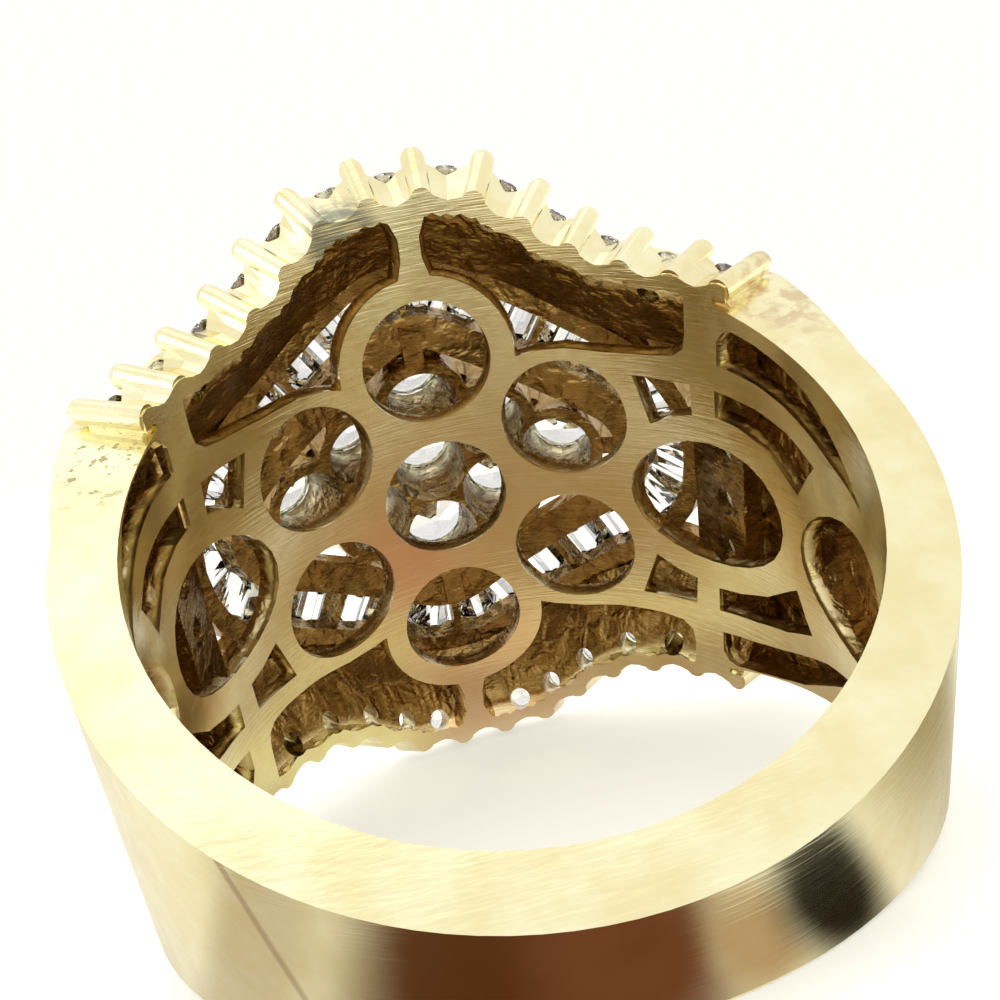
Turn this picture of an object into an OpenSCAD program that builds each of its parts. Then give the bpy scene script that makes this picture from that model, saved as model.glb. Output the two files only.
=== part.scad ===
// Cluster ring: a tapered band under a pierced gallery, with a wide head of round and baguette stones.
// Millimetres. Inside this file the finger goes along Z and the head is towards +Y.

/* [Finger and band] */
// Inside radius of the ring
finger_r = 8.65; // [7.5:0.05:10.5]
// Thickness of the band at the back
band_t = 1.55; // [1.2:0.05:2]
// Half width of the band level with the finger's middle
band_half = 4.6; // [4.2:0.1:5]
// Growth of the half width for each millimetre towards the head
band_taper = 0.31; // [0.25:0.01:0.34]
// Outer radius of the thicker shoulders
shoulder_r = 10.05; // [9.9:0.05:10.3]
// How far the shoulders' outer circle sits towards the head
shoulder_shift = 2.15; // [1.8:0.05:2.4]

/* [Gallery] */
// Thickness of the pierced plate on the finger
plate_t = 0.6; // [0.5:0.05:0.75]
// Distance between the middles of neighbouring round holes
hole_pitch = 4.48; // [4.4:0.02:4.6]
// Radius of the seven round holes
hole_r = 1.88; // [1.7:0.02:1.95]
// Turn of the whole gallery about the head's axis, degrees
gallery_twist = 1.4; // [0:0.1:2]

/* [Head] */
// Distance between small edge stones, measured on the finger surface
edge_pitch = 1.48; // [1.4:0.01:1.5]
// Radius of the small edge stones
edge_stone_r = 0.6; // [0.5:0.01:0.61]
// Radius of the prongs along the edge
edge_prong_r = 0.34; // [0.3:0.01:0.35]
// Lean of the edge stones at the widest part of the head, degrees
edge_lean = 32; // [20:1:36]
// Distance between the larger round stones
round_pitch = 2.83; // [2.8:0.01:2.9]
// Radius of the larger round stones
round_stone_r = 1.3; // [1.1:0.01:1.32]
// Height of the larger stones' girdles above the finger surface
round_rise = 4.6; // [4.4:0.1:4.9]
// Height of the baguettes' girdles above the finger surface
baguette_rise = 3.2; // [3.1:0.1:3.4]
// Length of a baguette
baguette_l = 1.72; // [1.5:0.02:1.76]
// Radius of the corner stones
corner_stone_r = 1; // [0.8:0.05:1.05]

/* [Resting pose] */
// Lean of the ring as it lies on its side, degrees
rest_tilt = 23.79; // [0:0.01:30]
// Height of the finger hole's middle above the surface
rest_height = 5.43; // [4:0.01:8]
// Shift of the ring towards its head that centres its box
rest_shift = -1.94; // [-3:0.01:0]

/* [Hidden] */
part_count = 28;
$fn = 40;
eps = 0.01;
clear = 0.04;
gold = [0.80, 0.68, 0.38];
clear_stone = [0.86, 0.90, 0.94];
far = 40;

// Angle at the finger's axis of an arc of length s on the radius r
function turn(s, r = finger_r) = s / r * 180 / PI;
function radial(a) = [sin(a), cos(a), 0];
function around(a) = [cos(a), -sin(a), 0];
// Point of the gallery turned about the head's axis
function twisted(p) = [p.x * cos(gallery_twist) + p.y * sin(gallery_twist),
    p.y * cos(gallery_twist) - p.x * sin(gallery_twist)];

// Frame with its origin at o and its axes along t, u and n
module frame(o, t, u, n) {
    multmatrix([[t.x, u.x, n.x, o.x], [t.y, u.y, n.y, o.y], [t.z, u.z, n.z, o.z], [0, 0, 0, 1]]) children();
}

// The band, from the back up to the shoulders
band_half_max = 6.2;
// Half width of the band against the distance towards the head
function band_w(y) = min(band_half_max, band_half + band_taper * y);
band_start = 57.4;
cavity_end = 80;
cavity_wall = 0.55;

// Wedge of the ring's circle between two angles from the head, on the side of +X
module wedge(a0, a1) {
    mid = (a0 + a1) / 2;
    linear_extrude(2 * far, center = true) polygon([[0, 0], far * [sin(a0), cos(a0)],
        1.3 * far * [sin(mid), cos(mid)], far * [sin(a1), cos(a1)]]);
}

// Side view of the band, drawn out across the ring
module side_profile(inset) {
    flat_y = (band_half_max - band_half) / band_taper;
    pts = [[-12, band_w(-12)], [flat_y, band_half_max], [9, band_half_max]];
    rotate([90, 0, 90]) linear_extrude(2 * far, center = true)
        polygon(concat([for (p = pts) [p.x, p.y - inset]],
            [for (i = [2:-1:0]) [pts[i].x, inset - pts[i].y]]));
}

module band() {
    difference() {
        intersection() {
            union() {
                cylinder(r = finger_r + band_t, h = 2 * far, center = true);
                translate([0, shoulder_shift, 0]) cylinder(r = shoulder_r, h = 2 * far, center = true);
            }
            side_profile(0);
        }
        wedge(-band_start, band_start);
        for (side = [0, 1]) mirror([side, 0, 0]) shoulder_cavity();
    }
}

module shoulder_cavity() {
    difference() {
        intersection() {
            translate([0, shoulder_shift, 0])
                cylinder(r = shoulder_r - cavity_wall, h = 2 * far, center = true);
            side_profile(cavity_wall + 0.05);
            wedge(band_start - 4, cavity_end);
        }
        cylinder(r = finger_r + plate_t - 0.05, h = 2 * far, center = true);
    }
}

// The plate that lies on the finger, cut to the edge's outline
plate_end = 58;
plate_s = plate_end / turn(1);
module plate() {
    edge = [for (i = [-14:14]) let (s = plate_s * i / 14) [finger_r * sin(turn(s)), edge_z(s) - 0.25]];
    intersection() {
        difference() {
            cylinder(r = finger_r + plate_t, h = 2 * edge_mid_z, center = true);
            cylinder(r = finger_r - 1, h = 2 * far, center = true);
        }
        wedge(-plate_end, plate_end);
        rotate([-90, 0, 0]) linear_extrude(far)
            polygon(concat(edge, [for (i = [len(edge) - 1:-1:0]) [edge[i].x, -edge[i].y]]));
    }
}

// Cutter for an opening whose outline is drawn on the unrolled finger surface
module pierce(outline, depth) {
    turned = [for (p = outline) twisted(p)];
    n = len(turned);
    mid = turn(([for (i = 0, m = 0; i <= n; m = m + (i < n ? turned[i].x : 0), i = i + 1) m][n]) / n);
    flat = [for (p = turned) [finger_r * sin(turn(p.x) - mid), p.y]];
    frame([0, 0, 0], around(mid), [0, 0, 1], radial(mid))
        translate([0, 0, finger_r - 3]) linear_extrude(3 + depth) polygon(flat);
}

function flip(pts, sx, sz) = [for (p = pts) [p.x * sx, p.y * sz]];
function arc(c, rx, ry, a0, a1, steps) =
    [for (i = [0:steps]) let (a = a0 + (a1 - a0) * i / steps) [c.x + rx * cos(a), c.y + ry * sin(a)]];

// Opening between the plate and the head's edge, one quarter of the head
rail_top = 4.42;
strut_half = 0.3;
lobe_r = 2.6;
open_edge = concat([[0.62, 12], [0.58, 8.9], [strut_half, 8.2], [strut_half, 7.6]],
    arc([0, hole_pitch], lobe_r, lobe_r, 80, -4, 10),
    [[3.1, rail_top], [4, rail_top + 0.08], [5.2, rail_top - 0.02], [6.6, rail_top], [7.3, rail_top + 0.1],
    [7.62, rail_top + 0.35], [7.7, rail_top + 0.8], [7.7, 12]]);
// Small four-sided hole next to the round holes
small_hole = [[6.0, 3.75], [7.8, 3.72], [7.85, 2.78], [7.2, 2.62], [6.5, 2.25], [6.28, 2.9]];
// Slot between the shoulder's oval and the inner rail
inner_slot = [[8.6, 3.72], [10, 3.55], [11.2, 3.25], [12.3, 2.72], [12, 2.3], [11.6, 1.55], [11.3, 1.75],
    [10.4, 2.42], [9.4, 2.78], [8.6, 2.9]];
// Long slot between the rail and the band's edge
edge_slot = [[8.7, 4.5], [10, 4.3], [11, 4.02], [12, 3.62], [13, 3.2], [14.7, 2.75], [14, 3.3], [13, 4.0],
    [12, 4.68], [11, 5.1], [10, 5.42], [9.2, 5.6], [8.9, 5.5], [8.7, 5.2]];
oval_x = 8.4;
oval_rx = 2.62;
oval_rz = 2.0;
oval2_x = 14.35;

module gallery_openings() {
    // The seven round holes
    for (i = [0:6]) {
        a = i * 60 + 30;
        c = twisted(i == 6 ? [0, 0] : hole_pitch * [cos(a), sin(a)]);
        frame([0, 0, c.y], around(turn(c.x)), [0, 0, 1], radial(turn(c.x))) cylinder(r = hole_r, h = 10.4);
    }
    for (sx = [1, -1]) {
        for (sz = [1, -1]) {
            pierce(flip(open_edge, sx, sz), 1);
            pierce(flip(small_hole, sx, sz), 1);
            pierce(flip(inner_slot, sx, sz), 0.9);
            pierce(flip(edge_slot, sx, sz), 0.9);
        }
        pierce(arc([sx * oval_x, 0], oval_rx, oval_rz, 0, 345, 23), 1);
        pierce(arc([sx * oval2_x, 0], oval_rx, oval_rz - 0.1, 0, 345, 23), 1);
    }
}

// The edge of the head with its row of small stones
edge_mid_z = 9.35;
edge_end_z = 6.55;
edge_count = 13;
bell_half = 3.7;
function bell(s) = 1 / (1 + pow(s / bell_half, 4));
function edge_z(s) = edge_end_z + (edge_mid_z - edge_end_z) * bell(s);
function edge_slope(s) = (edge_z(s + eps) - edge_z(s - eps)) / (2 * eps);
// Slices per stone pitch along the edge, and the arc position of slice j
slices = 6;
function edge_s(j) = j == 0 ? 0
    : let (p = edge_s(j - 1)) p + edge_pitch / slices * cos(atan(edge_slope(p)));
shelf_u = 0.86;
shelf_rise = 0.2;
shelf_rise_end = 0.6;
// Frame of a slice on one rim: [origin, along, out, up]
function edge_frame(j, sz) =
    let (s = sign(j) * edge_s(abs(j)), a = turn(s), tilt = 3 + (edge_lean - 3) / (1 + pow(s / 4.4, 4)),
        slope = atan(edge_slope(s)), t = around(a) * cos(slope) + [0, 0, sin(slope)],
        e = [0, 0, cos(slope)] - around(a) * sin(slope),
        n = radial(a) * cos(tilt) + e * sin(tilt), u = e * cos(tilt) - radial(a) * sin(tilt),
        rise = shelf_rise + (shelf_rise_end - shelf_rise) * (1 - bell(s)),
        o = radial(a) * finger_r + [0, 0, edge_z(s)] - u * shelf_u + n * rise)
    [for (v = [o, t, u, n]) [v.x, v.y, v.z * sz]];

girdle_v = 1;
shelf_top = 0.95;
strip_w = 0.52;
wall_t = 0.45;
wall_h = 2.3;
// Cross-section of the rim at slice j: the finger side outwards, then the stones' side back inwards
function edge_section(j, sz) =
    let (f = edge_frame(j, sz), s = sign(j) * edge_s(abs(j)), x = turn(s) * PI / 180 * deck_r,
        inner = deck_point([x, sz * max(channel_z(x, channel_out - 0.12), edge_z(s) - 3)], wall_h),
        wave = cos(360 * j / slices), notch = 0.5 + 0.5 * wave,
        low = (radial(turn(s)) * finger_r + [0, 0, sz * edge_z(s)] - f[0]) * f[3],
        out = shelf_u + 0.03 - 0.22 * notch, in = shelf_u - strip_w - 0.1 * wave,
        at_frame = function (q) f[0] + q[0] * f[2] + q[1] * f[3])
    concat([inner - wall_t * radial(turn(s))],
        [for (q = [[in, low + 0.05], [in, low - 0.7], [out, low - 0.7], [out, 0.3 - 0.25 * notch],
            [0.87 - 0.4 * notch, shelf_top], [-0.85, shelf_top]]) at_frame(q)], [inner]);

// Solid through rings of points. An open one is capped across its rings' two halves.
module loft(rings, closed = false) {
    n = len(rings[0]);
    m = len(rings);
    last = closed ? m - 1 : m - 2;
    half = n / 2;
    sides = [for (k = [0:last], i = [0:n - 1]) let (a = k * n, b = ((k + 1) % m) * n, j = (i + 1) % n)
        each [[a + i, a + j, b + j], [a + i, b + j, b + i]]];
    caps = closed ? [] : [for (i = [0:half - 2]) let (j = n - 1 - i, e = (m - 1) * n)
        each [[j - 1, i + 1, i], [j, j - 1, i], [e + i + 1, e + j - 1, e + i], [e + j - 1, e + j, e + i]]];
    polyhedron([for (q = rings) each q], concat(sides, caps));
}

edge_half = slices / 2 * (edge_count + 1) - 2;
module rim(sz) {
    order = sz > 0 ? [-edge_half:edge_half] : [edge_half:-1:-edge_half];
    difference() {
        loft([for (j = order) edge_section(j, sz)]);
        for (k = [0:edge_count - 1])
            small_seat(edge_frame(slices * (k - (edge_count - 1) / 2), sz), edge_stone_r);
    }
    for (k = [0:edge_count]) prong(edge_frame(slices * (k - edge_count / 2), sz), -0.55);
}

// Closing rows across the shoulders
row_angle = 53.5;
row_lean = 24;
row_rise = 1.1;
row_count = 6;
row_pitch = 1.64;
row_stone_r = 0.76;
row_l = 5.9;
function row_frame(z, sx) =
    let (n = radial(row_angle) * cos(row_lean) + around(row_angle) * sin(row_lean),
        u = around(row_angle) * cos(row_lean) - radial(row_angle) * sin(row_lean),
        o = radial(row_angle) * (finger_r + row_rise) + [0, 0, z])
    [for (v = [o, [0, 0, 1], u, n]) [v.x * sx, v.y, v.z]];
row_in = -1.5;
row_out = 1;

module at(f) frame(f[0], f[1], f[2], f[3]) children();

module along(half) rotate([90, 0, 90]) linear_extrude(2 * half, center = true) children();

module row(sx) {
    difference() {
        at(row_frame(0, sx)) along(row_l) polygon([[row_in, 0.1], [row_out, 0.1], [row_out, 0.7],
            [row_out - 0.25, shelf_top], [row_in, shelf_top]]);
        for (k = [0:row_count - 1])
            small_seat(row_frame((k - (row_count - 1) / 2) * row_pitch, sx), row_stone_r);
    }
    for (k = [1:row_count - 1]) prong(row_frame((k - row_count / 2) * row_pitch, sx), 0.3);
}

prong_u = 0.66;
prong_top = 1.45;
module prong(f, low) {
    r = edge_prong_r;
    at(f) translate([0, prong_u, 0]) rotate_extrude()
        polygon([[0, low], [r, low], [r, prong_top - 0.14], [r * 0.85, prong_top + 0.02],
            [r * 0.5, prong_top + 0.12], [0, prong_top + 0.15]]);
    at(f) translate([0, -prong_u, 0]) rotate_extrude()
        polygon([[0, shelf_top - 0.1], [0.22, shelf_top - 0.1], [0.22, prong_top - 0.2],
            [0.13, prong_top - 0.08], [0, prong_top - 0.05]]);
}

// Seat of a small stone: bearing, cone and the open hole behind it
module small_seat(f, stone_r) {
    r = stone_r + clear;
    hole = stone_r * 0.56;
    at(f) rotate_extrude() polygon([[0, -1.6], [hole, -1.6], [hole, girdle_v - 0.52], [r, girdle_v - 0.13],
        [r, girdle_v + 0.5], [0, girdle_v + 0.5]]);
}

// The raised middle with the larger round stones
round_half_x = round_pitch * cos(30);
round_spots = concat([[0, 0]], [for (i = [0:5]) round_pitch * [cos(60 * i + 30), sin(60 * i + 30)]],
    [[2 * round_half_x, 0], [-2 * round_half_x, 0]]);
dome_r = finger_r + round_rise;
dome_z_r = 15;
spot_r = dome_r - 0.3;
function dome_frame(p) =
    let (a = turn(p.x, spot_r), b = asin(p.y / dome_z_r),
        n = radial(a) * cos(b) + [0, 0, sin(b)], u = [0, 0, cos(b)] - radial(a) * sin(b),
        o = radial(a) * (dome_r - p.y * p.y / 2 / dome_z_r) + [0, 0, p.y])
    [o, around(a), u, n];

// Rounded rhombus at a distance off outside the four outer stones' middles, on the baguettes' radius
deck_r = finger_r + 2.4;
rhomb = [[0, round_pitch], [2 * round_half_x, 0], [0, -round_pitch], [-2 * round_half_x, 0]];
side_l = norm(rhomb[1] - rhomb[0]);
side_a = [60, -60, -120, 120];
function rim_len(off) = 4 * side_l + 2 * PI * off;
mid_off = 3.05;
// Position at fraction f of the way round: [point, outward angle]
corner_turn = [60, 120, 60, 120];
function rim_walk(d, i, off) =
    let (c = corner_turn[i] * PI / 180 * mid_off, a = side_a[i] + corner_turn[i])
    d < c ? [rhomb[i] + off * dir(a - d / c * corner_turn[i]), a - d / c * corner_turn[i]]
    : d < c + side_l
        ? [rhomb[i] + (d - c) / side_l * (rhomb[(i + 1) % 4] - rhomb[i]) + off * dir(side_a[i]), side_a[i]]
    : rim_walk(d - c - side_l, (i + 1) % 4, off);
function dir(a) = [cos(a), sin(a)];
function rim_at(f, off) = rim_walk((f - floor(f)) * rim_len(mid_off), 0, off);
rim_start = 0.5 * 60 * PI / 180 * mid_off / rim_len(mid_off);

function deck_point(p, h) = radial(turn(p.x, deck_r)) * (finger_r + h) + [0, 0, p.y];
function baguette_frame(k) =
    let (m = rim_at(rim_start + (k + 0.5) / part_count, mid_off), a = turn(m[0].x, deck_r), q = m[1],
        u = around(a) * cos(q) + [0, 0, sin(q)], t = around(a) * sin(q) - [0, 0, cos(q)])
    [deck_point(m[0], baguette_rise), t, u, radial(a)];
// Half widths of a baguette at its inner and outer end
function baguette_half(k, off) =
    let (f0 = rim_start + k / part_count, f1 = rim_start + (k + 1) / part_count)
    norm(rim_at(f1, off)[0] - rim_at(f0, off)[0]) / 2;
// Height of the channel's outside edge along the gallery, at arc length x on the baguettes' radius
channel_out = 4.22;
function channel_z(x, off) = let (c = abs(x))
    c < off * cos(60) ? round_pitch + sqrt(off * off - x * x)
    : (2 * round_half_x * cos(60) + off - c * cos(60)) / sin(60);
channel_low = 1.95;
ledge_h = baguette_rise - 0.32;

// Ring following the baguettes, its section given as pairs of outward distance and height
module channel_ring(section) {
    steps = 2 * part_count;
    loft([for (i = [steps - 1:-1:0]) [for (q = section)
        deck_point(rim_at(rim_start + i / steps, q[0])[0], q[1])]], closed = true);
}

collar_r = 1.5;
bar_turn = [60, 90, 120, 240, 270, 300, 0, 180];
module raised_middle() {
    difference() {
        for (p = round_spots) at(dome_frame(p)) translate([0, 0, channel_low - round_rise + 0.1])
            cylinder(r = collar_r, h = round_rise - channel_low - 0.1);
        for (p = round_spots) round_seat(dome_frame(p));
    }
    // Short bars from the outer collars to the baguettes' ledge
    for (i = [1:8]) at(dome_frame(round_spots[i])) rotate([0, 0, bar_turn[i - 1]])
        translate([collar_r - 0.2, -0.3, -2.4]) cube([1.2, 0.6, 0.8]);
    channel_ring([[1.33, channel_low + 0.05], [1.33, ledge_h - 0.2], [1.75, ledge_h + 0.4],
        [2.02, ledge_h + 0.4], [2.02, ledge_h], [2.4, ledge_h], [2.4, channel_low + 0.05]]);
}

module channel_wall() {
    channel_ring([[3.62, channel_low], [3.62, ledge_h], [mid_off + baguette_l / 2 + 0.05, ledge_h],
        [mid_off + baguette_l / 2 + 0.05, baguette_rise + 0.05], [channel_out + 0.05, baguette_rise + 0.05],
        [channel_out + 0.05, channel_low]]);
}

module round_seat(f) {
    r = round_stone_r + clear;
    at(f) rotate_extrude() polygon([[0, -3.4], [1.2, -3.4], [1.05, -1.25], [1.05, -0.36], [r, -0.08],
        [r, 1], [0, 1]]);
}

gap_spots = [for (p = round_spots, i = [0:5]) p + round_pitch / sqrt(3) * dir(60 * i)];
function seen_before(i) = len([for (j = [0:1:i - 1]) if (norm(gap_spots[j] - gap_spots[i]) < 0.1) 1]) > 0;
module middle_prongs() {
    for (i = [0:len(gap_spots) - 1]) if (!seen_before(i)) at(dome_frame(gap_spots[i])) {
        translate([0, 0, -1.7]) cylinder(r = 0.29, h = 1.95, $fn = 20);
        translate([0, 0, 0.25]) sphere(r = 0.29, $fn = 20);
    }
}

// Bar between two baguettes
module divider(k) {
    f = rim_at(rim_start + k / part_count, mid_off);
    a = turn(f[0].x, deck_r);
    q = f[1];
    frame(deck_point(f[0], baguette_rise), around(a) * sin(q) - [0, 0, cos(q)],
        around(a) * cos(q) + [0, 0, sin(q)], radial(a)) translate([-0.1, -1.05, -1]) cube([0.2, 2.1, 1]);
}

// The four corner decks
corner_spot = [8.05, 4.75];
corner_h = 2.45;
corner_r = 1.9;
function corner_frame(sx, sz) =
    let (a = turn(corner_spot.x, deck_r), lean = 12,
        e = around(a) * 0.6 + [0, 0, 0.8], n = radial(a) * cos(lean) + e * sin(lean),
        u = e * cos(lean) - radial(a) * sin(lean), t = around(a) * 0.8 - [0, 0, 0.6])
    [for (v = [deck_point(corner_spot, corner_h), t, u, n]) [v.x * sx, v.y, v.z * sz]];

module corner_deck(sx, sz) difference() {
    at(corner_frame(sx, sz)) translate([0, 0, -0.6]) cylinder(r = corner_r, h = 0.6);
    at(corner_frame(sx, sz)) rotate_extrude() polygon([[0, -2], [0.62, -2], [0.62, -0.36],
        [corner_stone_r + clear, -0.04], [corner_stone_r + clear, 1], [0, 1]]);
}

// The stones
table_part = 0.56;
mid_part = 0.8;
low_part = 0.42;
// Round brilliant with its girdle's lower edge at z = 0
module brilliant(r) {
    girdle = 0.05 * r;
    top = 0.34 * r;
    deep = 0.84 * r;
    mid_z = top - (mid_part * cos(22.5) - table_part) * (top - girdle) / (1 - table_part);
    low_z = -deep * (1 - low_part * cos(22.5));
    pts = concat([for (i = [0:7]) [table_part * r * cos(45 * i), table_part * r * sin(45 * i), top]],
        [for (i = [0:7]) [mid_part * r * cos(45 * i + 22.5), mid_part * r * sin(45 * i + 22.5), mid_z]],
        [for (z = [girdle, 0], i = [0:15]) [r * cos(22.5 * i), r * sin(22.5 * i), z]],
        [for (i = [0:7]) [low_part * r * cos(45 * i + 22.5), low_part * r * sin(45 * i + 22.5), low_z]],
        [[0, 0, -deep]]);
    faces = concat([[for (i = [0:7]) i]],
        [for (i = [0:7]) [i, 8 + i, (i + 1) % 8]],
        [for (i = [0:7]) [i, 8 + (i + 7) % 8, 16 + 2 * i]],
        [for (i = [0:7]) [i, 16 + 2 * i, 8 + i]],
        [for (i = [0:7]) [8 + i, 16 + 2 * i, 17 + 2 * i]],
        [for (i = [0:7]) [8 + i, 17 + 2 * i, 16 + (2 * i + 2) % 16]],
        [for (i = [0:15]) [32 + i, 32 + (i + 1) % 16, 16 + (i + 1) % 16]],
        [for (i = [0:15]) [32 + i, 16 + (i + 1) % 16, 16 + i]],
        [for (i = [0:7]) [48 + i, 33 + 2 * i, 32 + 2 * i]],
        [for (i = [0:7]) [48 + i, 32 + (2 * i + 2) % 16, 33 + 2 * i]],
        [for (i = [0:7]) [56, 48 + i, 32 + 2 * i]],
        [for (i = [0:7]) [56, 32 + 2 * i, 48 + (i + 7) % 8]]);
    solid(pts, faces);
}

// Solid from faces listed counter-clockwise as seen from outside
module solid(pts, faces) polyhedron(pts, [for (f = faces) [for (i = [len(f) - 1:-1:0]) f[i]]]);

// Step-cut bar with its girdle's lower edge at z = 0
baguette_gap = 0.09;
module baguette(k) {
    w0 = baguette_half(k, mid_off - baguette_l / 2) - baguette_gap;
    w1 = baguette_half(k, mid_off + baguette_l / 2) - baguette_gap;
    h = baguette_l / 2;
    rings = [[0.62, 0.72, 0.28], [1, 1, 0.06], [1, 1, 0], [0.7, 0.8, -0.42], [0.16, 0.5, -0.8]];
    pts = [for (q = rings) each [[-w0 * q[0], -h * q[1], q[2]], [w0 * q[0], -h * q[1], q[2]],
        [w1 * q[0], h * q[1], q[2]], [-w1 * q[0], h * q[1], q[2]]]];
    faces = concat([[0, 1, 2, 3]], [for (l = [0:3], i = [0:3])
        [4 * l + i, 4 * l + 4 + i, 4 * l + 4 + (i + 1) % 4, 4 * l + (i + 1) % 4]], [[19, 18, 17, 16]]);
    at(baguette_frame(k)) solid(pts, faces);
}

// Stands the ring on its side as it rests
module placed() translate([0, rest_shift, rest_height]) rotate([rest_tilt, 0, 0]) children();

module mount() color(gold) placed() difference() {
    union() {
        difference() {
            union() {
                band();
                plate();
            }
            gallery_openings();
        }
        for (side = [1, -1]) {
            rim(side);
            row(side);
            for (other = [1, -1]) corner_deck(side, other);
        }
        raised_middle();
        channel_wall();
        for (k = [0, 3, 11, 14, 17, 25]) divider(k);
        middle_prongs();
    }
    cylinder(r = finger_r, h = 2 * far, center = true, $fn = 120);
}

module round_stone(i) color(clear_stone) placed() at(dome_frame(round_spots[i - 1])) brilliant(round_stone_r);

module corner_stone(i) color(clear_stone) placed()
    at(corner_frame(i % 2 == 0 ? 1 : -1, i > 2 ? 1 : -1)) translate([0, 0, 0.02]) brilliant(corner_stone_r);

module baguette_stone(k) color(clear_stone) placed() baguette(k - 1);

module halo_stones() color(clear_stone) placed() for (side = [1, -1]) {
    for (k = [0:edge_count - 1]) at(edge_frame(slices * (k - (edge_count - 1) / 2), side))
        translate([0, 0, girdle_v]) brilliant(edge_stone_r);
    for (k = [0:row_count - 1]) at(row_frame((k - (row_count - 1) / 2) * row_pitch, side))
        translate([0, 0, girdle_v]) brilliant(row_stone_r);
}

mount();
for (i = [1:9]) round_stone(i);
for (i = [1:4]) corner_stone(i);
for (i = [1:part_count]) baguette_stone(i);
halo_stones();
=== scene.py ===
"""Cluster ring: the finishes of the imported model, with its floor, light and camera."""
import math

import bpy
from mathutils import Matrix, Vector

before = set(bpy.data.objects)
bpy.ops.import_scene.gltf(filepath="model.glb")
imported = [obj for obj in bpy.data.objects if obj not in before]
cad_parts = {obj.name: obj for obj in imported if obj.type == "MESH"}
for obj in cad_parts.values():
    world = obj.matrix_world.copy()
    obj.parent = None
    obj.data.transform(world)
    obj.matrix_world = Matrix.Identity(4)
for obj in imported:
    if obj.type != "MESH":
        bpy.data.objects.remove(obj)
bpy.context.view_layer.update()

MM = 0.001
# How the ring lies on its side, as in the part's source: lean, height and shift of the finger's axis
REST_TILT = 23.79
REST_HEIGHT = 5.43
REST_SHIFT = -1.94
RING_TO_ROW = (Matrix.Translation((0, REST_SHIFT * MM, REST_HEIGHT * MM))
               @ Matrix.Rotation(math.radians(REST_TILT), 4, "X"))
FINGER_R = 8.65
# Half width of the band at the finger's axis, how it grows towards the head, and at most
BAND_HALF, BAND_TAPER, BAND_EDGE = 4.6, 0.31, 6.2
# Half width of the head at its ends and in the middle, and the length over which it widens
EDGE_END, EDGE_MIDDLE, BELL_HALF = 6.55, 9.35, 3.7
# Width of the rim outside the inner walls, and the height at which the head starts
RIM = 0.6
HEAD_FROM, HEAD_FULL = 4.6, 4.9
# Height above the finger surface from which the head's outside is worn bright, with no brown patina or
# painted shade
BRIGHT_FROM, BRIGHT_FULL = 3.2, 4.2
# Solder line across the band: its angle from the head, and its slant for each millimetre of width
SEAM_ANGLE, SEAM_SLANT = 2.419, 0.0363
SEAM_HALF, SEAM_CORE = 0.016, 0.003
RELIEF_DEPTH = 0.05
# Where the camera stands in the ring's own frame, and its turn as an axis times an angle
CAMERA_PLACE = (-4.630, -25.256, 18.879)
CAMERA_TURN = (2.05566, -0.34293, 0.02258)
LENS, SENSOR = 45.88, 36

# Colours of the gold, from bright to stained; rose and steel grey are painted reflections, and the two browns
# are patina deepened by painted shade
PALE_GOLD, BRIGHT_GOLD = (0.88, 0.78, 0.45), (0.95, 0.90, 0.60)
ROSE_REFLECTION, STEEL_REFLECTION = (0.93, 0.60, 0.42), (0.22, 0.24, 0.21)
BROWN, DARK_BROWN = (0.44, 0.28, 0.10), (0.20, 0.12, 0.035)
STAIN, DENT, SOLDER = (0.62, 0.42, 0.24), (0.30, 0.26, 0.11), (0.40, 0.28, 0.16)


class Value:
    """A number that varies over a surface."""

    def __init__(self, finish, socket):
        self.finish, self.socket = finish, socket

    def maths(self, kind, *parts):
        return self.finish.maths(kind, *parts)

    def __add__(self, other):
        return self.maths("ADD", self, other)

    def __radd__(self, other):
        return self.maths("ADD", other, self)

    def __sub__(self, other):
        return self.maths("SUBTRACT", self, other)

    def __rsub__(self, other):
        return self.maths("SUBTRACT", other, self)

    def __mul__(self, other):
        return self.maths("MULTIPLY", self, other)

    def __rmul__(self, other):
        return self.maths("MULTIPLY", other, self)

    def __truediv__(self, other):
        return self.maths("DIVIDE", self, other)

    def __rtruediv__(self, other):
        return self.maths("DIVIDE", other, self)

    def above(self, low, high):
        """0 below low, 1 above high, smooth in between. The two may be swapped."""
        return self.finish.add(
            "ShaderNodeMapRange", {"interpolation_type": "SMOOTHSTEP", "clamp": True},
            {"Value": self, "From Min": low, "From Max": high, "To Min": 0.0, "To Max": 1.0})


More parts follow.
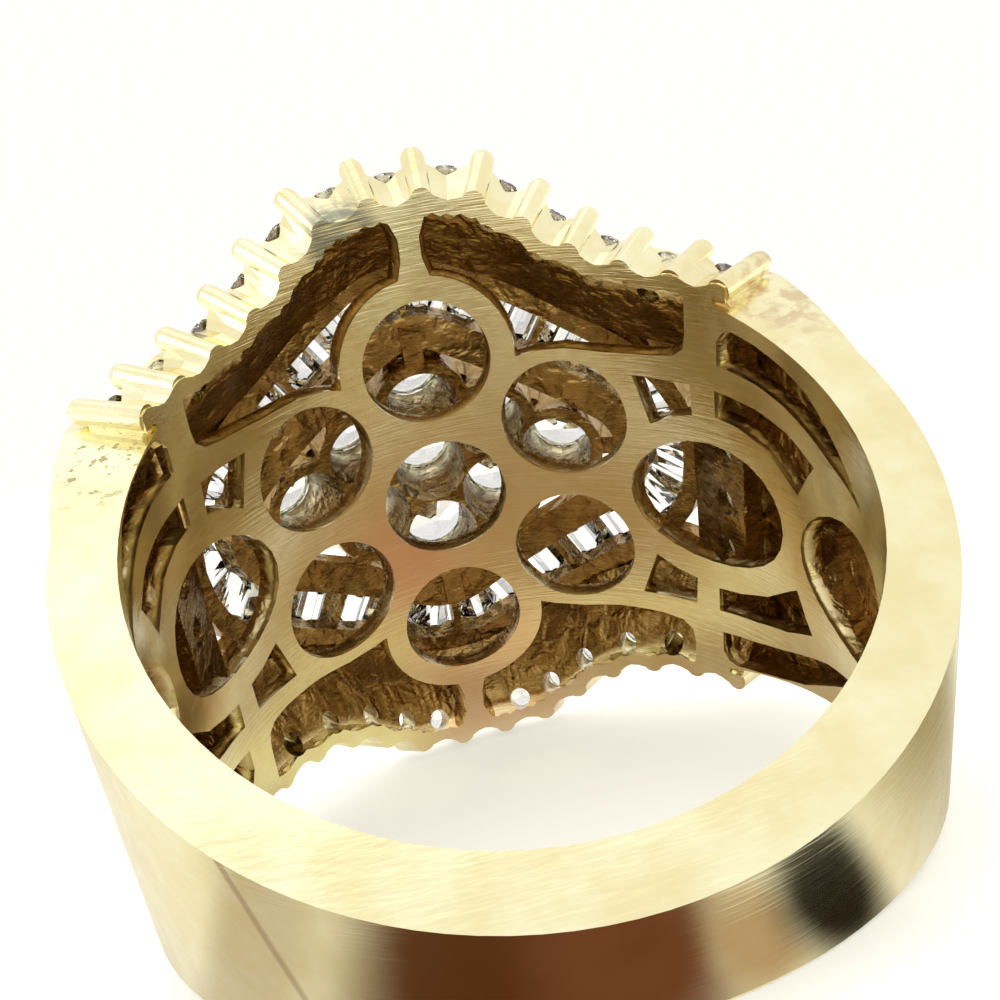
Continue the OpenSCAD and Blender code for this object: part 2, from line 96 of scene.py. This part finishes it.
class Finish:
    """A material on one Principled shader, with its nodes added one by one."""

    def __init__(self, name, **constants):
        self.material = bpy.data.materials.new(name)
        self.material.use_nodes = True
        self.tree = self.material.node_tree
        self.shader = self.tree.nodes["Principled BSDF"]
        for socket, value in constants.items():
            self.shader.inputs[socket.replace("_", " ")].default_value = value

    def add(self, kind, settings=None, inputs=None, output=0):
        node = self.tree.nodes.new(kind)
        for name, value in (settings or {}).items():
            setattr(node, name, value)
        for name, value in (inputs or {}).items():
            if isinstance(value, Value):
                self.tree.links.new(value.socket, node.inputs[name])
            else:
                node.inputs[name].default_value = value
        return Value(self, node.outputs[output])

    def maths(self, kind, *parts):
        return self.add("ShaderNodeMath", {"operation": kind}, dict(enumerate(parts)))

    def feed(self, socket, value):
        self.tree.links.new(value.socket, self.shader.inputs[socket])

    def blend(self, factor, first, second):
        """Colour between two colours, or two links."""
        node = self.tree.nodes.new("ShaderNodeMix")
        node.data_type = "RGBA"
        for place, value in ((0, factor), (6, first), (7, second)):
            if isinstance(value, Value):
                self.tree.links.new(value.socket, node.inputs[place])
            else:
                node.inputs[place].default_value = (*value, 1) if place else value
        return Value(self, node.outputs[2])

    def ring_place(self):
        """Millimetres in the ring's own frame, with the finger along Z and the head towards +Y."""
        here = self.add("ShaderNodeTexCoord", output="Object")
        return self.add("ShaderNodeMapping", {"vector_type": "TEXTURE"}, {
            "Vector": here, "Location": (0, REST_SHIFT * MM, REST_HEIGHT * MM),
            "Rotation": (math.radians(REST_TILT), 0, 0), "Scale": (MM, MM, MM)})

    def parts(self, vector):
        node = self.tree.nodes.new("ShaderNodeSeparateXYZ")
        self.tree.links.new(vector.socket, node.inputs[0])
        return [Value(self, out) for out in node.outputs]

    def vector(self, x, y, z):
        return self.add("ShaderNodeCombineXYZ", None, {"X": x, "Y": y, "Z": z})

    def noise(self, vector, scale, detail=2.0, rough=0.5, distortion=0.0):
        return self.add("ShaderNodeTexNoise", None, {"Vector": vector, "Scale": scale, "Detail": detail,
                                                     "Roughness": rough, "Distortion": distortion})

    def near(self, place, point, far, close):
        """1 within close of a point, 0 further from it than far."""
        away = self.add("ShaderNodeVectorMath", {"operation": "DISTANCE"}, {0: place, 1: point}, "Value")
        return away.above(far, close)

    def relief(self, height, strength, depth):
        """Bump: height is a value over the surface, and depth what a height of 1 measures."""
        self.feed("Normal", self.add("ShaderNodeBump", None, {
            "Height": height, "Strength": strength, "Distance": depth}))


def worn_gold():
    """Pale yellow gold: bright where it was filed and polished, brown patina where no tool reached, deepened
    in the hollows as painted shade, with painted reflections in rose and steel grey.
    """
    gold = Finish("gold", Metallic=1.0)
    place = gold.ring_place()
    x, y, z = gold.parts(place)
    flat = gold.vector(x, y, 0.0)
    radius = gold.add("ShaderNodeVectorMath", {"operation": "LENGTH"}, {0: flat}, "Value")
    angle = gold.maths("ARCTAN2", x, y)
    wrapped = gold.vector(angle * FINGER_R, radius, z)
    half = gold.maths("ABSOLUTE", z)
    normal = gold.add("ShaderNodeVectorRotate", {"rotation_type": "X_AXIS"}, {
        "Vector": gold.add("ShaderNodeNewGeometry", output="True Normal"), "Angle": -math.radians(REST_TILT)})
    outward = gold.add("ShaderNodeVectorMath", {"operation": "DOT_PRODUCT"}, {
        0: normal, 1: gold.add("ShaderNodeVectorMath", {"operation": "NORMALIZE"}, {0: flat})}, "Value")

    # Half width of the band and of the head, which tells an inner wall from an outer one
    reach = gold.maths("POWER", gold.maths("ABSOLUTE", angle) * (FINGER_R / BELL_HALF), 4.0)
    head_edge = EDGE_END + (EDGE_MIDDLE - EDGE_END) / (1 + reach)
    band_edge = gold.maths("MINIMUM", BAND_EDGE, BAND_HALF + BAND_TAPER * y)
    in_head = y.above(HEAD_FROM, HEAD_FULL)
    inside = (gold.maths("MAXIMUM", band_edge, (head_edge - RIM) * in_head) - half).above(0.02, 0.2)

    # Soft clouds, fine grain and cast lumps
    cloud = gold.noise(place, 0.55, 3.0, 0.6)
    grain = gold.noise(place, 5.0, 2.0, 0.6)
    lump = gold.noise(place, 1.7, 2.0, 0.5, 0.6)
    pit = radius.above(FINGER_R + 0.06, FINGER_R + 0.5)
    worn_unshaded_top = radius.above(FINGER_R + BRIGHT_FROM, FINGER_R + BRIGHT_FULL)
    # Hollows inside the walls, below the worn top: brown patina, darkened further as painted shade where the
    # gallery gets little light
    patina_and_shade = inside * pit * outward.above(0.7, 0.2) * (1 - worn_unshaded_top) * (cloud * 0.5 + 0.75)

    # Scratches of the file, slanting round the finger
    filed = gold.noise(gold.add("ShaderNodeMapping", None, {
        "Vector": wrapped, "Rotation": (0, math.radians(35), 0), "Scale": (0.3, 1, 7.0)}), 1.8, 2.0, 0.7)

    tone = gold.blend(cloud.above(0.3, 0.7), PALE_GOLD, BRIGHT_GOLD)
    # Painted reflections: a rose tint low in the gallery, and a steel-grey patch beside the upper strut
    rose_reflection = gold.maths("MAXIMUM", gold.near(place, (-1.6, 8.6, -1.8), 2.6, 0.8),
                      gold.near(place, (0.6, 8.6, -6.8), 4.4, 1.6))
    tone = gold.blend(rose_reflection * 0.5, tone, ROSE_REFLECTION)
    # Painted reflection: dark grey on the rim strip, broken up along the file marks
    steel_reflection = gold.near(place, (-1.6, 8.5, 8.6), 1.3, 0.7) * (filed + cloud * 0.6).above(0.5, 0.75)
    tone = gold.blend(steel_reflection * 0.8, tone, STEEL_REFLECTION)
    # Brown patina with painted shade in the hollows, darker in lumps
    tone = gold.blend(patina_and_shade, tone, BROWN)
    tone = gold.blend(patina_and_shade * (lump + grain * 0.2).above(0.7, 0.45) * 0.6, tone, DARK_BROWN)
    # Stain and dents on the shoulders' side face
    stain = gold.near(place, (9.2, 4.6, 6.1), 2.9, 0.8) * (lump + grain * 0.3).above(0.58, 0.8)
    tone = gold.blend(stain * 0.6, tone, STAIN)
    dent = gold.near(place, (-8.9, 3.8, 5.8), 1.9, 0.6) * (filed * 0.6 + grain * 0.5).above(0.62, 0.7)
    tone = gold.blend(dent * 0.8, tone, DENT)
    # Solder line of an old resizing across the outside of the band
    across = gold.maths("ABSOLUTE", angle + SEAM_ANGLE - z * SEAM_SLANT)
    seam = across.above(SEAM_HALF, SEAM_CORE) * outward.above(0.6, 0.9)
    tone = gold.blend(seam * 0.55, tone, SOLDER)
    gold.feed("Base Color", tone)
    gold.feed("Roughness", 0.15 + filed * 0.12 + patina_and_shade * 0.06)
    gold.relief(filed * 0.45 - dent * 0.8 - seam * 0.2 + patina_and_shade * (grain * 1.2 + lump * 7),
                0.5, RELIEF_DEPTH * MM)
    return gold.material


def clear_stone():
    """Clear cut stone with bright facets."""
    stone = Finish("clear_stone", Transmission_Weight=1.0, IOR=2.1, Specular_IOR_Level=0.6)
    place = stone.ring_place()
    film = stone.noise(place, 1.4, 3.0, 0.6)
    stone.feed("Base Color", stone.blend(film.above(0.4, 0.75), (0.97, 0.98, 1.0), (0.90, 0.90, 0.88)))
    stone.feed("Roughness", 0.01 + film.above(0.5, 0.8) * 0.06)
    return stone.material


def give(obj, material):
    obj.data.materials.clear()
    obj.data.materials.append(material)


GOLD = worn_gold()
STONE = clear_stone()
for name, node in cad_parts.items():
    give(node, GOLD if name == "mount" else STONE)


def flat_piece(name, corners, material):
    """A piece of one face."""
    mesh = bpy.data.meshes.new(name)
    mesh.from_pydata(corners, [], [list(range(len(corners)))])
    mesh.update()
    obj = bpy.data.objects.new(name, mesh)
    bpy.context.scene.collection.objects.link(obj)
    give(obj, material)
    return obj


def table_top():
    """White table top, seen as a plain pale floor, that glows: painted light which lifts the shadow on it and
    lights the ring from below.
    """
    paper = Finish("table", Roughness=0.55, Specular_IOR_Level=0.3, Emission_Color=(1.0, 0.97, 0.82, 1),
                   Emission_Strength=0.62)
    here = paper.add("ShaderNodeTexCoord", output="Object")
    soft = paper.noise(here, 9.0, 2.0)
    paper.material.cycles.emission_sampling = "NONE"
    paper.feed("Base Color", paper.blend(soft.above(0.4, 0.7), (0.80, 0.79, 0.77), (0.83, 0.82, 0.80)))
    reach, sides = 0.9, 64
    rim = [(reach * math.cos(2 * math.pi * i / sides), reach * math.sin(2 * math.pi * i / sides), 0)
           for i in range(sides)]
    flat_piece("table_top", rim, paper.material)


def flag(name, width, length, spots, ground):
    """A card flat on the table that shows in the metal alone, where it darkens and warms the reflections.
    Each spot is (x, y, radius, colour), in millimetres on the table."""
    card = Finish(name, Base_Color=(0, 0, 0, 1), Roughness=1.0, Specular_IOR_Level=0.0, Emission_Strength=1.0)
    here = card.add("ShaderNodeMapping", None, {
        "Vector": card.add("ShaderNodeTexCoord", output="Object"), "Scale": (1 / MM, 1 / MM, 1 / MM)})
    tone = card.blend(0.0, ground, ground)
    for x, y, radius, colour in spots:
        away = card.add("ShaderNodeVectorMath", {"operation": "DISTANCE"}, {0: here, 1: (x, y, 0)}, "Value")
        tone = card.blend(away.above(radius, radius * 0.4), tone, colour)
    card.feed("Emission Color", tone)
    card.material.cycles.emission_sampling = "NONE"
    across, along, lift = width / 2 * MM, length / 2 * MM, 0.06 * MM
    corners = [(-across, -along, lift), (across, -along, lift), (across, along, lift), (-across, along, lift)]
    obj = flat_piece(name, corners, card.material)
    for ray in ("camera", "diffuse", "transmission", "shadow", "volume_scatter"):
        setattr(obj, "visible_" + ray, False)


def soft_box(name, place, toward, width, height, power):
    light = bpy.data.lights.new(name, "AREA")
    light.shape, light.size, light.size_y = "RECTANGLE", width, height
    light.energy = power
    obj = bpy.data.objects.new(name, light)
    bpy.context.scene.collection.objects.link(obj)
    way = (Vector(place) - Vector(toward)).to_track_quat("Z", "Y")
    obj.matrix_world = Matrix.Translation(Vector(place)) @ way.to_matrix().to_4x4()


def studio():
    scene = bpy.context.scene
    scene.view_settings.view_transform = "Standard"
    scene.cycles.max_bounces, scene.cycles.glossy_bounces = 8, 5
    scene.cycles.transmission_bounces, scene.cycles.diffuse_bounces = 7, 2
    scene.cycles.caustics_reflective = scene.cycles.caustics_refractive = False
    world = bpy.data.worlds.new("studio")
    scene.world = world
    world.use_nodes = True
    back = world.node_tree.nodes["Background"]
    back.inputs["Color"].default_value = (1.0, 0.99, 0.96, 1)
    back.inputs["Strength"].default_value = 1.02
    middle = (0, 0, 6 * MM)
    soft_box("soft_box_above", (0, 0.02, 0.22), middle, 0.14, 0.14, 0.025)
    soft_box("soft_box_left", (-0.20, -0.04, 0.12), middle, 0.10, 0.14, 0.05)
    table_top()
    # Spots under the head and around the band, where the gold mirrors brown, red or black
    flag("warm_flag", 64, 64, [
        (0, 1, 13, (0.36, 0.24, 0.13)), (2.4, 2.0, 2.8, (0.50, 0.29, 0.18)),
        (1.2, 5.6, 2.2, (0.72, 0.60, 0.38)), (-2.8, 7.2, 3.0, (0.80, 0.74, 0.50)),
        (17, -9, 12, (0.40, 0.33, 0.19)), (9.5, -16, 5, (0.22, 0.22, 0.17)),
        (1, -18, 6, (0.30, 0.25, 0.14)), (-15, -11, 7, (0.40, 0.32, 0.19)),
        (-10.5, -7, 4, (0.62, 0.54, 0.44)), (-3.8, -12.5, 6.8, (0.10, 0.034, 0.011)),
        (-0.6, -12.4, 3.4, (0.16, 0.055, 0.028)), (2.4, -11.4, 1.6, (0.50, 0.36, 0.24)),
        (4.8, -10.8, 2.4, (0.02, 0.016, 0.012))], (1.0, 0.96, 0.86))


def photo_camera():
    """Camera at the photo's place and angle to the ring, solved from the photo."""
    place, turn = Vector(CAMERA_PLACE) * MM, Vector(CAMERA_TURN)
    look = Matrix.Rotation(turn.length, 3, turn.normalized()).transposed() @ Matrix.Diagonal((1, -1, -1))
    lens = bpy.data.cameras.new("photo_camera")
    lens.lens, lens.sensor_width = LENS, SENSOR
    lens.clip_start, lens.clip_end = 1 * MM, 10
    camera = bpy.data.objects.new("photo_camera", lens)
    bpy.context.scene.collection.objects.link(camera)
    camera.matrix_world = RING_TO_ROW @ Matrix.Translation(place) @ look.to_4x4()
    bpy.context.scene.camera = camera


studio()
photo_camera()
